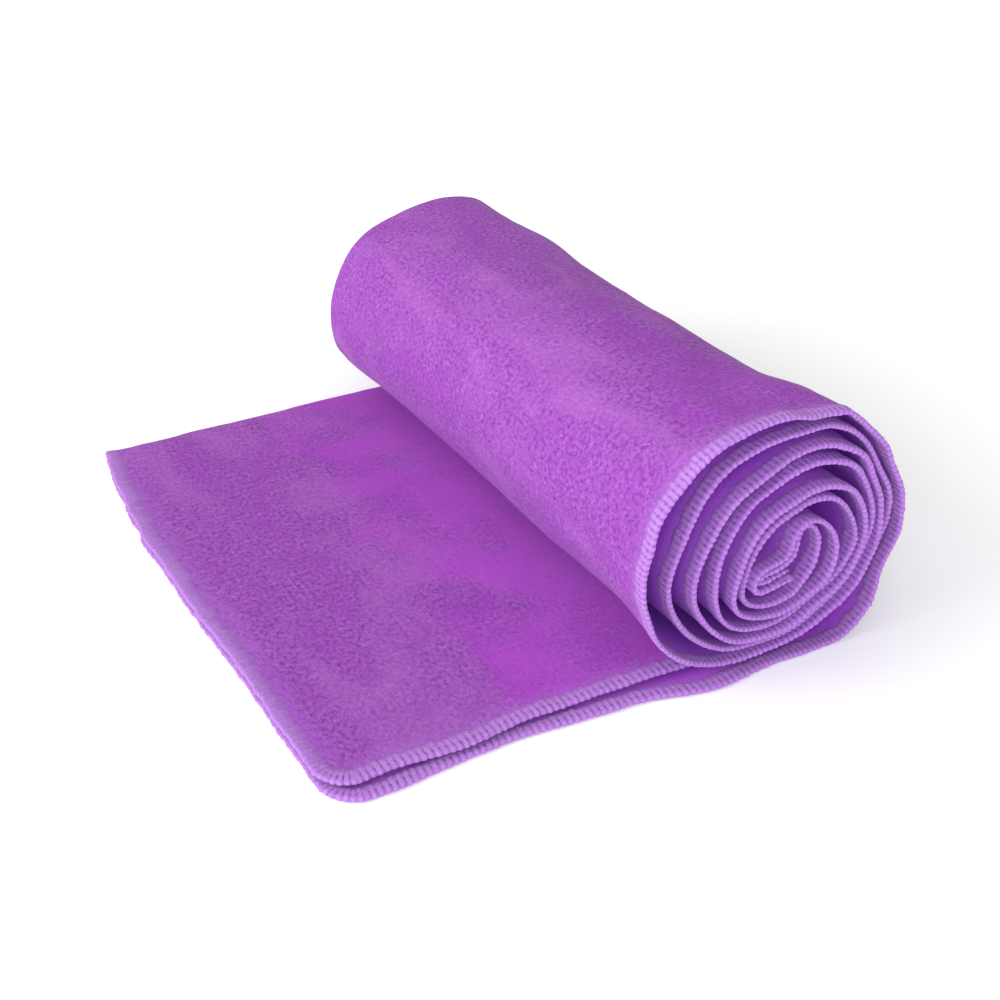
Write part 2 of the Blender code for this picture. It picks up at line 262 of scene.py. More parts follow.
def core_ply(station, side):
    """x and z of a ply in the core: side is 1 for the lower ply and -1 for the upper."""
    place = station - SPIRAL_END
    x0, z0 = (smooth_along(CORE_LINE[:, k], place + 0.95) for k in (0, 1))
    x1, z1 = (smooth_along(CORE_LINE[:, k], place + 1.05) for k in (0, 1))
    x, z = (smooth_along(CORE_LINE[:, k], place + 1.0) for k in (0, 1))
    size = np.hypot(x1 - x0, z1 - z0)
    ax, az = wound(SPIRAL_END, CORE_TURNS)
    bx, bz = wound(SPIRAL_END, CORE_TURNS + 0.5)
    gap = mixed(math.hypot(bx - ax, bz - az), CORE_WIDE, ease(place / CORE_WIDE_BY))
    gap = mixed(gap, CORE_GAP, ease((place - CORE_GAP_FROM) / CORE_GAP_OVER))
    return x + side * gap / 2 * (z1 - z0) / size, z - side * gap / 2 * (x1 - x0) / size


def lower_line(station):
    station = np.asarray(station, float)
    inside = np.clip(station, 0.0, SPIRAL_END)
    x, z = wound(inside, inside / (2 * math.pi) * ease(inside / FLAT_START))
    cx, cz = core_ply(np.maximum(station, SPIRAL_END), 1)
    x = np.where(station <= 0.0, ROLL_START_X + station, np.where(station > SPIRAL_END, cx, x))
    z = np.where(station <= 0.0, FLOOR_Z, np.where(station > SPIRAL_END, cz, z))
    return x, z


def upper_line(station):
    station = np.asarray(station, float)
    inside = np.clip(station, 0.0, SPIRAL_END)
    x, z = wound(inside, inside / (2 * math.pi) + 0.5)
    cx, cz = core_ply(np.maximum(station, SPIRAL_END), -1)
    share = ease(1.0 + station / (ROLL_START_X - HINGE_X[0]))
    fx = mixed(ROLL_START_X, x, share) + station
    fz = mixed(FLOOR_Z + TAIL_GAP, z, share)
    x = np.where(station <= 0.0, fx, np.where(station > SPIRAL_END, cx, x))
    z = np.where(station <= 0.0, fz, np.where(station > SPIRAL_END, cz, z))
    return x, z


def facing(line, station):
    """The unit normal of a line, on the side that is outside the roll."""
    step = np.where(station > 0.0, 0.02, 0.5)
    x0, z0 = line(station - step)
    x1, z1 = line(station + step)
    size = np.hypot(x1 - x0, z1 - z0)
    return (z1 - z0) / size, -(x1 - x0) / size


class Lengths:
    """Length along a ply's line, in mm from the free end, against station."""

    def __init__(self, line):
        flat = np.linspace(flat_station(TAIL_END_X), 0.0, 400)
        roll = np.linspace(0.0, CLOTH_END, 9000)[1:]
        self.station = np.concatenate([flat, roll])
        x, z = line(self.station)
        steps = np.hypot(np.diff(x), np.diff(z))
        self.length = np.concatenate([[0.0], np.cumsum(steps)])

    def at(self, station):
        return np.interp(station, self.station, self.length)

    def station_at(self, length):
        return np.interp(length, self.length, self.station)


LOWER = Lengths(lower_line)
UPPER = Lengths(upper_line)


# ---- waves and lumps -------------------------------------------------------------------------------------


LATTICE = 64
LATTICES = [np.random.default_rng(seed).uniform(-1.0, 1.0, (LATTICE, LATTICE)) for seed in range(11, 21)]


def rolling(u, v, size, which):
    """Smooth random height between -1 and 1 that changes over about size mm."""
    grid = LATTICES[which]
    u = np.asarray(u, float) / size + 7.3 * which
    v = np.asarray(v, float) / size + 3.1 * which
    i = np.floor(u).astype(int)
    j = np.floor(v).astype(int)
    fu = ease(u - i)
    fv = ease(v - j)
    i0, i1 = i % LATTICE, (i + 1) % LATTICE
    j0, j1 = j % LATTICE, (j + 1) % LATTICE
    return mixed(mixed(grid[i0, j0], grid[i1, j0], fu), mixed(grid[i0, j1], grid[i1, j1], fu), fv)


def raised(inward):
    """How far the lower ply stands off the floor beside its hem."""
    return HEM_RAISE * ease((RAISE_TO - inward) / (RAISE_TO - RAISE_FROM))


def beside(inward, reach):
    """1 at a raw edge of the cloth, fading out over about reach mm."""
    return np.exp(-((np.maximum(inward, 0.0) / reach) ** 2))


# How high the waves and lumps are, in the outermost turn and in the inner ones
EDGE_WAVE = (0.7, 0.3)
EDGE_KINK = (0.9, 0.15)
UPPER_WAVE = (0.45, 0.32)
LUMP = (0.75, 0.12)
SMALL_LUMP = (0.16, 0.04)
UPPER_LUMP = 0.14
UPPER_SMALL_LUMP = 0.05

# How long they are
EDGE_WAVE_SIZE = 12.0
EDGE_KINK_SIZE = 19.0
UPPER_WAVE_SIZE = 15.0
LUMP_SIZE = 34.0
UPPER_LUMP_SIZE = 30.0
SMALL_LUMP_SIZE = 7.0

WAVE_REACH = 16.0  # how far in from a raw edge its waves reach
FLARE = 0.9  # the raw edge of the outermost ply flares out
FLARE_REACH = 9.0
ROLL_FADE = 1.5  # the angle by which the waves of the roll are fully there
SHARP_CREASE = 2.0  # height of the one sharp crease, in the outermost ply
SHARP_CREASE_AT = 2.62
SHARP_CREASE_SIZE = 5.0
DEEP_CREASE = (1.5, 1.3)  # along X and Z, of all turns together
DEEP_CREASE_SIZE = 15.0

# How the edges wander: (height, size, lattice) of each wave
LOWER_WANDER = ((1.3, 22.0, 3),)
UPPER_WANDER = ((1.4, 24.0, 7),)
END_WANDER = ((0.7, 13.0, 2), (0.3, 5.0, 6))
FOLD_WANDER = ((0.5, 11.0, 5), (0.25, 5.0, 6))

# How far the near edge of the lower ply and the fold stray along Y, at these lengths from the free end
DRIFT_AT = (0.0, 60.0, 105.0, 135.0, 165.0, 200.0)
NEAR_DRIFT = (-2.2, 2.8, 0.8, -4.4, -2.0, 0.0)
FOLD_DRIFT = (-3.2, -0.6, 2.8, 3.7, 4.0, 3.6)


def drift(values, length):
    """The value at a length, eased between the values given at DRIFT_AT."""
    place = np.interp(length, DRIFT_AT, range(len(DRIFT_AT)))
    whole = np.clip(np.floor(place).astype(int), 0, len(values) - 2)
    values = np.asarray(values)
    return mixed(values[whole], values[whole + 1], ease(place - whole))


def wander(length, waves):
    return sum(high * rolling(length, 0.0, size, which) for high, size, which in waves)


def settled(points, station):
    """The roll is wider at both ends than in its middle, and all its turns are creased together."""
    x, y, z = points[..., 0], points[..., 1], points[..., 2]
    wound_up = ease(station / 1.2)
    far = ease((y - 30.0) / 95.0)
    close = ease((-y - 80.0) / 45.0)
    left = ease((15.0 - x) / 60.0)
    right = ease((x + 8.0) / 26.0)
    high = ease((z - 45.0) / 40.0)
    off_floor = ease((z - 4.0) / 24.0)
    # the far end bulges to the left low down and is drawn in above
    dx = -mixed(3.6, -2.6, ease((z - 25.0) / 45.0)) * far * left * off_floor
    # the top rises at the near end, dips in the middle, and has two soft ridges on its right
    dip = 1.3 * (1.0 - close) * (1.0 - far) * ease((x + 30.0) / 50.0)
    dz = high * (2.0 * close - 0.8 * far - dip)
    collar = np.exp(-(((y + 104.0) / 22.0) ** 2))
    ridge = np.exp(-(((y - 72.0) / 26.0) ** 2))
    dz = dz + (4.0 * collar + 2.4 * ridge) * right * high
    loose = mixed(0.6, 1.0, close) * off_floor
    dx = dx + DEEP_CREASE[0] * loose * rolling(x + 0.35 * y, z - 0.25 * y, DEEP_CREASE_SIZE, 3)
    dz = dz + DEEP_CREASE[1] * loose * rolling(x - 0.3 * y, z + 0.3 * y, DEEP_CREASE_SIZE, 7)
    points[..., 0] += dx * wound_up
    points[..., 2] += dz * wound_up
    return points


def pulled_tight(points, station, share):
    """Past the near end the inner turns lie up against the left of the outermost one.

    share is 0 on the lower ply, 1 on the upper ply, and in between round the fold.
    """
    innermost = ease((station - TIGHT_LOWER_FROM) / TIGHT_OVER)
    pulled = mixed(innermost, ease((station - TIGHT_UPPER_FROM) / TIGHT_OVER), share)
    pulled = pulled * ease((points[..., 1] - TIGHT_FROM_Y) / TIGHT_OVER_Y)
    points[..., 0] -= TIGHT_LEFT * pulled
    points[..., 2] += mixed(TIGHT_UP, INNER_UP, innermost) * pulled
    return points


def inner_turn(station):
    """0 in the outermost turn and 1 well inside, where the cloth is wound too tight for big waves."""
    return ease((station - 5.5) / 2.5)


def lumps(station, inward):
    """Broad lumps of the lower ply and the fold. They are in the roll only."""
    high = mixed(*LUMP, inner_turn(station))
    return high * rolling(LOWER.at(station), inward, LUMP_SIZE, 1) * ease(station / ROLL_FADE)


def lower_ply(station, inward, lift):
    """Points of the lower ply. inward is the distance from its near edge."""
    x, z = lower_line(station)
    nx, nz = facing(lower_line, station)
    length = LOWER.at(station)
    in_roll = ease(station / ROLL_FADE)
    inner = inner_turn(station)
    edge = beside(inward, WAVE_REACH)
    wave = mixed(*EDGE_WAVE, inner) * edge * rolling(length, 0.0, EDGE_WAVE_SIZE, 0)
    kinks = 1.0 - 2.0 * np.abs(rolling(length, 0.0, EDGE_KINK_SIZE, 9))
    wave = wave + mixed(*EDGE_KINK, inner) * edge * kinks
    from_crease = np.abs(length - LOWER.at(SHARP_CREASE_AT))
    wave = wave + SHARP_CREASE * edge * np.exp(-from_crease / SHARP_CREASE_SIZE)
    wave = wave + FLARE * (1.0 - inner) * beside(inward, FLARE_REACH)
    wave = wave + mixed(*SMALL_LUMP, inner) * rolling(length, inward, SMALL_LUMP_SIZE, 2)
    at_end = raised(station - flat_station(TAIL_END_X))
    rise = np.maximum(raised(inward), at_end) * (1.0 - ease((station - RAISE_UNTIL) / RAISE_FADE))
    out = lift - rise + wave * in_roll + lumps(station, inward)
    y = LOWER_EDGE_Y + inward + edge * wander(length, LOWER_WANDER)
    return np.stack([x + nx * out, y, z + nz * out], -1)


def upper_ply(station, inward, lift):
    """Points of the upper ply. inward is the distance from its near edge."""
    x, z = upper_line(station)
    nx, nz = facing(upper_line, station)
    length = UPPER.at(station)
    edge = beside(inward, WAVE_REACH)
    high = mixed(*UPPER_WAVE, inner_turn(station))
    wave = high * edge * rolling(length, 0.0, UPPER_WAVE_SIZE, 4)
    wave = wave + UPPER_LUMP * rolling(length, inward, UPPER_LUMP_SIZE, 5)
    wave = wave + UPPER_SMALL_LUMP * rolling(length, inward, SMALL_LUMP_SIZE, 6)
    out = lift + wave
    from_end = (station - flat_station(TAIL_END_X)) / (HINGE_X[1] - TAIL_END_X)
    edge_y = mixed(END_EDGE_Y, UPPER_EDGE_Y, np.clip(from_end, 0.0, 1.0))
    edge_y = mixed(edge_y, ROLL_EDGE_Y, ease(station / EDGE_DRAWN))
    y = mixed(edge_y, FOLD_Y - FOLD_DEPTH, inward / UPPER_FLAT)
    y = y + edge * wander(length, UPPER_WANDER)
    return np.stack([x - nx * out, y, z - nz * out], -1)


def fold_over(station, turn, lift):
    """Points of the fold. turn is the angle round it, from the lower ply to the upper."""
    ax, az = lower_line(station)
    bx, bz = upper_line(station)
    anx, anz = facing(lower_line, station)
    bnx, bnz = facing(upper_line, station)
    share = (1.0 - np.cos(turn)) / 2
    out = np.cos(turn) * (lift + lumps(station, LOWER_FLAT))
    at_end = raised(station - flat_station(TAIL_END_X))
    x = mixed(ax, bx, share) + mixed(anx, bnx, share) * out
    z = mixed(az + at_end, bz, share) + mixed(anz, bnz, share) * out
    y = FOLD_Y - FOLD_DEPTH + (FOLD_DEPTH - HALF + lift) * np.sin(turn)
    return np.stack([x, y, z], -1)


def strayed(points, station, across):
    """Neither the long edges nor the free end's short edge are quite straight."""
    y = points[..., 1].copy()
    length = LOWER.at(station)
    place = y / FOLD_Y
    bulge = (END_BULGE + END_SKEW * place) * (1.0 - place**2)
    end_share = ease((HINGE_X[-1] - points[..., 0]) / (HINGE_X[-1] - TAIL_END_X)) * (station < 0.0)
    points[..., 0] -= (bulge + wander(y, END_WANDER)) * end_share
    far_share = ease((y + 40.0) / 160.0)
    near_share = ease((-20.0 - y) / 100.0) * (across < LOWER_FLAT)
    points[..., 1] += far_share * (drift(FOLD_DRIFT, length) + wander(length, FOLD_WANDER))
    points[..., 1] += near_share * drift(NEAR_DRIFT, length)
    return points


def cloth_points(station, across, lift):
    """Points in mm, as (..., 3). lift is the distance out from the middle of the cloth."""
    station, across, lift = np.broadcast_arrays(
        np.asarray(station, float), np.asarray(across, float), np.asarray(lift, float)
    )
    turn = np.clip((across - LOWER_FLAT) / FOLD_SPAN, 0.0, 1.0) * math.pi
    flat_low = (across <= LOWER_FLAT)[..., None]
    flat_high = (across >= LOWER_FLAT + FOLD_SPAN)[..., None]
    points = np.where(flat_high, upper_ply(station, ACROSS - across, lift), fold_over(station, turn, lift))
    points = np.where(flat_low, lower_ply(station, across, lift), points)
    points = pulled_tight(points, station, (1.0 - np.cos(turn)) / 2)
    return settled(strayed(points, station, across), station)


# ---- meshes ----------------------------------------------------------------------------------------------

INNER_FROM = 5.4  # station where the lower ply goes out of sight inside the roll
INSIDE_NAP = 9.0  # the two faces of the cloth have their own nap, from places this far apart
MOST_FUZZ = 0.8  # thread fuzz on the cloth beside the hem
FUZZ_UNTIL = 12.0
FUZZ_OVER = 7.0
PAINTED_LIGHT_BETWEEN_PLIES = 0.6  # how much painted light and glow the cloth gets between the plies of the free end, which lie in shade


def grid_normals(points, closed_across):
    """Unit normals of a grid of points, rows by columns. Columns run round a ring if closed_across."""
    along = np.gradient(points, axis=0)
    if closed_across:
        round_ring = np.roll(points, -1, axis=1) - np.roll(points, 1, axis=1)
    else:
        round_ring = np.gradient(points, axis=1)
    normal = np.cross(round_ring, along)
    size = np.linalg.norm(normal, axis=-1, keepdims=True)
    return normal / np.maximum(size, 1e-9)


def ring_mesh(name, points, attributes, material):
    """A closed body through rings of points, as (rows, ring, 3) in mm.

    attributes are arrays by name, as (rows, ring) or (rows, ring, 3).
    """
    rows, ring, _ = points.shape
    index = np.arange(rows * ring).reshape(rows, ring)
    here = index[:-1]
    ahead = index[1:]
    faces = np.stack([here, ahead, np.roll(ahead, -1, axis=1), np.roll(here, -1, axis=1)], -1)
    faces = faces.reshape(-1, 4)
    half = ring // 2
    caps = []
    for row, flip in ((index[0], False), (index[-1], True)):
        other = row[::-1]
        quads = np.stack([row[: half - 1], row[1:half], other[1:half], other[: half - 1]], -1)
        caps.append(quads[:, ::-1] if flip else quads)
    faces = np.concatenate([faces, *caps])
    # the faces look outwards
    corner = points.reshape(-1, 3)[faces]
    volume = np.einsum("ij,ij->i", corner[:, 0], np.cross(corner[:, 1], corner[:, 2])).sum()
    volume += np.einsum("ij,ij->i", corner[:, 0], np.cross(corner[:, 2], corner[:, 3])).sum()
    if volume < 0:
        faces = faces[:, ::-1]
    mesh = bpy.data.meshes.new(name)
    mesh.vertices.add(rows * ring)
    mesh.vertices.foreach_set("co", (points.reshape(-1) * MM).astype(np.float32))
    mesh.loops.add(faces.size)
    mesh.loops.foreach_set("vertex_index", faces.reshape(-1).astype(np.int32))
    mesh.polygons.add(len(faces))
    mesh.polygons.foreach_set("loop_start", np.arange(0, faces.size, 4, dtype=np.int32))
    mesh.polygons.foreach_set("use_smooth", np.ones(len(faces), bool))
    mesh.update(calc_edges=True)
    mesh.validate()
    for key, values in attributes.items():
        if values.ndim == 3:
            layer = mesh.attributes.new(key, "FLOAT_VECTOR", "POINT")
            layer.data.foreach_set("vector", values.reshape(-1).astype(np.float32))
        else:
            layer = mesh.attributes.new(key, "FLOAT", "POINT")
            layer.data.foreach_set("value", values.reshape(-1).astype(np.float32))
    mesh.materials.append(material)
    obj = bpy.data.objects.new(name, mesh)
    bpy.context.scene.collection.objects.link(obj)
    return obj


def set_normals(obj, normals):
    """Own normals for shading, turned to the side the faces already face."""
    normals = normals.reshape(-1, 3)
    faced = np.empty(len(normals) * 3, np.float32)
    obj.data.vertex_normals.foreach_get("vector", faced)
    if (faced.reshape(-1, 3) * normals).sum() < 0:
        normals = -normals
    obj.data.normals_split_custom_set_from_vertices(normals.tolist())


def spread(*parts):
    """Places along a line: parts are (from, to, step)."""
    places = []
    for first, last, step in parts:
        count = max(1, round(abs(last - first) / step))
        places.append(np.linspace(first, last, count, endpoint=False))
    places.append(np.array([parts[-1][1]]))
    return np.concatenate(places)


def across_places(inside_step):
    """Where a row of the cloth has points. inside_step is their spacing in the middle of the upper ply."""
    fold_end = LOWER_FLAT + FOLD_SPAN
    return spread(
        (EDGE_INSET, 14.0, 1.3),
        (14.0, 60.0, 2.0),
        (60.0, LOWER_FLAT - 12.0, 2.8),
        (LOWER_FLAT - 12.0, LOWER_FLAT, 1.5),
        (LOWER_FLAT, fold_end, FOLD_SPAN / 10),
        (fold_end, fold_end + 12.0, 1.5),
        (fold_end + 12.0, ACROSS - 60.0, inside_step),
        (ACROSS - 60.0, ACROSS - 14.0, 2.0),
        (ACROSS - 14.0, ACROSS - EDGE_INSET, 1.3),
    )


TRIM_REACH = 34.0


def trimmed(across, trim):
    """Places moved in from both raw edges where the corner is rounded off."""
    squeeze = (TRIM_REACH - trim) / (TRIM_REACH - EDGE_INSET)
    low = trim + (across - EDGE_INSET) * squeeze
    high = ACROSS - trim - (ACROSS - EDGE_INSET - across) * squeeze
    return np.where(across < TRIM_REACH, low, np.where(across > ACROSS - TRIM_REACH, high, across))


def nap_places(outside, places):
    """Places across the cloth for its material, measured round the fold so that the nap isn't stretched."""
    measured = np.linalg.norm(np.diff(outside, axis=1), axis=-1)
    folded = (places[:, 1:] > LOWER_FLAT) & (places[:, 1:] <= LOWER_FLAT + FOLD_SPAN + 0.01)
    steps = np.where(folded, measured, np.diff(places, axis=1))
    return places[:, :1] + np.cumsum(np.pad(steps, ((0, 0), (1, 0))), axis=1)


def cloth_body(name, stations, across, material, trims=None):
    """A closed shell of cloth over rows of stations. trims says how far in from the edges each row ends."""
    places = np.array([trimmed(across, trim) for trim in trims or [EDGE_INSET] * len(stations)])
    station = np.repeat(np.asarray(stations)[:, None], places.shape[1], axis=1)
    outside = cloth_points(station, places, HALF)
    inside = cloth_points(station, places, -HALF)
    length = LOWER.at(station)
    drawn = nap_places(outside, places)
    coords = np.stack([length, drawn, np.zeros_like(length)], -1)
    coords_in = np.stack([length, drawn, np.full_like(length, INSIDE_NAP)], -1)
    from_edge = np.minimum(np.minimum(places, ACROSS - places), length)
    edge = MOST_FUZZ * ease((FUZZ_UNTIL - from_edge) / FUZZ_OVER)
    # inside the roll and between the plies the colour is painted lighter and more violet and glows faintly,
    # as painted light standing in for light that comes through the cloth
    in_roll = ease(station)
    on_upper = places > LOWER_FLAT + FOLD_SPAN
    hidden = mixed(ease(station - INNER_FROM), in_roll, on_upper)
    attributes = {
        "cloth": np.concatenate([coords, coords_in[:, ::-1]], axis=1),
        "edge": np.concatenate([edge, edge[:, ::-1]], axis=1),
        "deep": np.concatenate([hidden, mixed(PAINTED_LIGHT_BETWEEN_PLIES, 1.0, in_roll)[:, ::-1]], axis=1),
    }
    body = ring_mesh(name, np.concatenate([outside, inside[:, ::-1]], axis=1), attributes, material)
    normals = (grid_normals(outside, False), -grid_normals(inside, False)[:, ::-1])
    set_normals(body, np.concatenate(normals, axis=1))
    return body


def row_step(station):
    """From one row of the roll to the next, in mm."""
    return np.where(station < 6.6, 2.0, np.where(station < SPIRAL_END, 2.5, 1.1))


def stations_between(first, last):
    """Stations whose rows are row_step apart on the ply that runs further."""
    fine = np.linspace(first, last, 6000)
    run = np.maximum(np.gradient(LOWER.at(fine)), np.gradient(UPPER.at(fine)))
    count = np.cumsum(run / row_step(fine))
    count -= count[0]
    total = int(round(count[-1]))
    return np.interp(np.linspace(0.0, count[-1], total + 1), count, fine)


# ---- the hem ---------------------------------------------------------------------------------------------

RANDOM_COUNT = 4096
HEM_RANDOM = np.random.default_rng(5).uniform(-1.0, 1.0, RANDOM_COUNT)
STITCH_SAMPLES = 7  # rows to a stitch
ROLL_FROM = float(LOWER.at(0.0))

# A ring of points round the thread: (distance in from the edge, side), where 1 is its upper face
FACE_PLACES = (7.3, 6.7, 6.1, 5.3, 4.5, 3.7, 3.0, 2.5, 2.0, 1.5, 1.0, 0.5)
EDGE_POINTS = [(0.1, 0.6), (0.0, 0.0), (0.1, -0.6)]
INNER_POINTS = [(6.6, -0.1), (1.6, -0.1), (1.4, 0.0), (1.6, 0.1), (6.6, 0.1)]
UPPER_POINTS = [(d, 1.0) for d in FACE_PLACES]
LOWER_POINTS = [(d, -1.0) for d in reversed(FACE_PLACES)]
HEM_RING = np.array(UPPER_POINTS + EDGE_POINTS + LOWER_POINTS + INNER_POINTS)

THREAD_LIFT = 0.38  # off the middle of the cloth, at the thread's inner end
THREAD_SWELL = 0.38  # and this much more nearer the edge
RIB = 0.05
EDGE_RIB = 0.13  # ribs are this much higher at the edge
EDGE_RIB_REACH = 3.2
PIT_AT = 2.0  # in from the edge
PIT_SIZE = 0.72
PIT_DEPTH = 0.26
FLUFF = 0.09
SCALLOP = 0.42


def stitches(length):
    """How many stitches there are up to a length. They lie closer together in the roll."""
    on_tail = np.minimum(length, ROLL_FROM)
    return on_tail / TAIL_STITCH + (length - on_tail) / ROLL_STITCH


def hem_shape(count, clear, seed):
    """Distance in, lift off the cloth's middle, and how much each point is crown or pit.

    For each row, count is the number of stitches up to it and clear is how well they can be told apart.
    """
    d, side = HEM_RING.T[:, None, :]
    count = np.asarray(count)[:, None]
    clear = np.asarray(clear)[:, None]
    wall = np.abs(side) > 0.9
    phase = count + 0.02 * d * np.sign(side)
    number = np.floor(phase).astype(int)
    own = HEM_RANDOM[(number + 977 * seed) % RANDOM_COUNT]
    other = HEM_RANDOM[(number * 7 + 131 * seed) % RANDOM_COUNT]
    rib = mixed(0.7, np.abs(np.sin(math.pi * phase)) ** 0.7, clear)
    bead = mixed(0.6, np.abs(np.sin(math.pi * count)) ** 0.8, mixed(0.4, 1.0, clear))
    fade_in = ease((mixed(6.2, 6.9, clear) + 0.7 * own - d) / mixed(5.6, 3.2, clear))
    near_edge = np.exp(-((d / EDGE_RIB_REACH) ** 2))
    pit = np.exp(-(((d - PIT_AT - 0.3 * other) / PIT_SIZE) ** 2))
    pit = pit * (1.0 - rib) ** 1.1 * (0.75 + 0.25 * own) * clear
    height = (RIB + EDGE_RIB * near_edge) * (1.0 + 0.35 * own) * rib * fade_in * ease(d / 0.7)
    height = height - PIT_DEPTH * pit
    height = height + FLUFF * fade_in * rolling(2.0 * count, 40.0 * d, 0.9, 8)
    lift = side * (THREAD_LIFT + THREAD_SWELL * fade_in + height)
    at_edge = np.abs(side) > 0.2
    lift = np.where(wall, lift, np.where(at_edge, side * (0.7 + 0.2 * bead), 2.0 * side))
    scallop = (SCALLOP + mixed(0.4, 0.2, clear) * own) * bead
    place = d - np.where(d < EDGE_INSET, scallop * (1.0 - d / EDGE_INSET), 0.0)
    return place, lift, rib * fade_in, np.clip(pit * 1.3, 0.0, 1.0) * wall


def long_edge(upper, lengths):
    """The hem's path along a long edge: station, across, and the way in for both."""
    line = UPPER if upper else LOWER
    station = line.station_at(lengths)
    across = np.full_like(station, ACROSS if upper else 0.0)
    return station, across, np.zeros_like(station), np.full_like(station, -1.0 if upper else 1.0)


END_STRAIGHT = SPLIT_X[-1] - TAIL_END_X - CORNER_R
QUARTER = CORNER_R * math.pi / 2
END_RUN = 2 * END_STRAIGHT + 2 * QUARTER + ACROSS - 2 * CORNER_R


def end_path(lengths):
    """The same round the free end: near corner, short edge, fold, short edge, near corner."""
    mirrored = lengths > END_RUN / 2
    run = np.where(mirrored, END_RUN - lengths, lengths)
    angle = np.clip((run - END_STRAIGHT) / CORNER_R, 0.0, math.pi / 2)
    round_end = flat_station(TAIL_END_X) + CORNER_R * (1.0 - np.sin(angle))
    station = np.where(run < END_STRAIGHT, flat_station(SPLIT_X[-1]) - run, round_end)
    across = CORNER_R * (1.0 - np.cos(angle)) + np.maximum(run - END_STRAIGHT - QUARTER, 0.0)
    in_across = np.cos(angle)
    across = np.where(mirrored, ACROSS - across, across)
    return station, across, np.sin(angle), np.where(mirrored, -in_across, in_across)


def core_path(lengths):
    """The same along the short edge inside the roll."""
    last = LOWER.at(CLOTH_END)
    per_mm = (CLOTH_END - LOWER.station_at(last - CORE_HEM)) / CORE_HEM
    station = np.full_like(lengths, CLOTH_END)
    return station, lengths, np.full_like(station, -per_mm), np.zeros_like(station)


def hem_body(name, path, run, count, clear, seed, material):
    """The thread along a path. run is the length at each row, in mm."""
    place, lift, crown, pit = hem_shape(count, clear, seed)
    station, across, in_station, in_across = (p[:, None] for p in path)
    at = station + in_station * place
    points = cloth_points(at, across + in_across * place, lift)
    length = np.broadcast_to(run[:, None], place.shape)
    coords = np.stack([length, place * np.sign(lift), np.zeros_like(place)], -1)
    attributes = {"cloth": coords, "crown": crown, "pit": pit, "deep": ease(at - INNER_FROM)}
    body = ring_mesh(name, points, attributes, material)
    set_normals(body, grid_normals(points, True))
    return body


# ---- materials -------------------------------------------------------------------------------------------


class Nodes:
    """A few short ways to add nodes to a material, whose faint painted glow isn't sampled as a light."""

    def __init__(self, name):
        self.material = bpy.data.materials.new(name)
        self.material.use_nodes = True
        self.material.cycles.emission_sampling = "NONE"
        self.tree = self.material.node_tree
        self.shader = self.tree.nodes["Principled BSDF"]

    def add(self, kind, inputs=None, **settings):
        node = self.tree.nodes.new(kind)
        for key, value in settings.items():
            setattr(node, key, value)
        for key, value in (inputs or {}).items():
            self.put(node.inputs[key], value)
        return node

    def put(self, socket, value):
        if isinstance(value, bpy.types.NodeSocket):
            self.tree.links.new(value, socket)
        else:
            socket.default_value = value

    def attribute(self, name, output="Vector"):
        return self.add("ShaderNodeAttribute", attribute_name=name).outputs[output]

    def noise(self, vector, scale, detail, rough=0.5, distortion=0.0):
        inputs = {"Vector": vector, "Scale": scale, "Detail": detail}
        inputs.update({"Roughness": rough, "Distortion": distortion})
        return self.add("ShaderNodeTexNoise", inputs).outputs["Fac"]

    def stretch(self, vector, scale, turn=0.0):
        inputs = {"Vector": vector, "Rotation": (0.0, 0.0, turn), "Scale": scale}
        return self.add("ShaderNodeMapping", inputs).outputs["Vector"]

    def part(self, vector, axis):
        return self.add("ShaderNodeSeparateXYZ", {"Vector": vector}).outputs[axis]

    def math(self, operation, a, b=0.0, clamp=False):
        node = self.add("ShaderNodeMath", operation=operation, use_clamp=clamp)
        self.put(node.inputs[0], a)
        self.put(node.inputs[1], b)
        return node.outputs[0]

    def span(self, value, low, high, to_low=0.0, to_high=1.0):
        inputs = {"Value": value, "From Min": low, "From Max": high, "To Min": to_low, "To Max": to_high}
        return self.add("ShaderNodeMapRange", inputs, clamp=True).outputs["Result"]

    def mix(self, share, a, b):
        """The colour a, turning into b. Sockets 6, 7 and 2 are the node's colour ones."""
        node = self.add("ShaderNodeMix", data_type="RGBA")
        self.put(node.inputs["Factor"], share)
        self.put(node.inputs[6], a)
        self.put(node.inputs[7], b)
        return node.outputs[2]

    def bump(self, height, distance, strength):
        inputs = {"Height": height, "Distance": distance, "Strength": strength}
        return self.add("ShaderNodeBump", inputs).outputs["Normal"]

    def finish(self, **inputs):
        for key, value in inputs.items():
            self.put(self.shader.inputs[key.replace("_", " ")], value)
        return self.material


NAP_DARK = (0.15, 0.016, 0.235, 1.0)
NAP_LIGHT = (0.385, 0.13, 0.49, 1.0)
NAP_BLOTCH = (0.21, 0.045, 0.30, 1.0)
NAP_BRUSHED_UP = (0.36, 0.125, 0.44, 1.0)
NAP_BRUSHED_DOWN = (0.27, 0.036, 0.385, 1.0)
NAP_PRESSED_AND_LIT = (0.38, 0.062, 0.49, 1.0)
NAP_PAINTED_GAP_LIGHT = (0.40, 0.075, 0.66, 1.0)
HEM_DARK = (0.20, 0.05, 0.36, 1.0)
HEM_MIDDLE = (0.34, 0.12, 0.50, 1.0)
HEM_BRIGHT = (0.50, 0.28, 0.62, 1.0)
HEM_PIT_SHADE = (0.19, 0.06, 0.33, 1.0)
PAINTED_GLOW = (0.38, 0.06, 1.0, 1.0)  # painted glow inside the roll, standing in for light that comes through the cloth and bounces between the plies
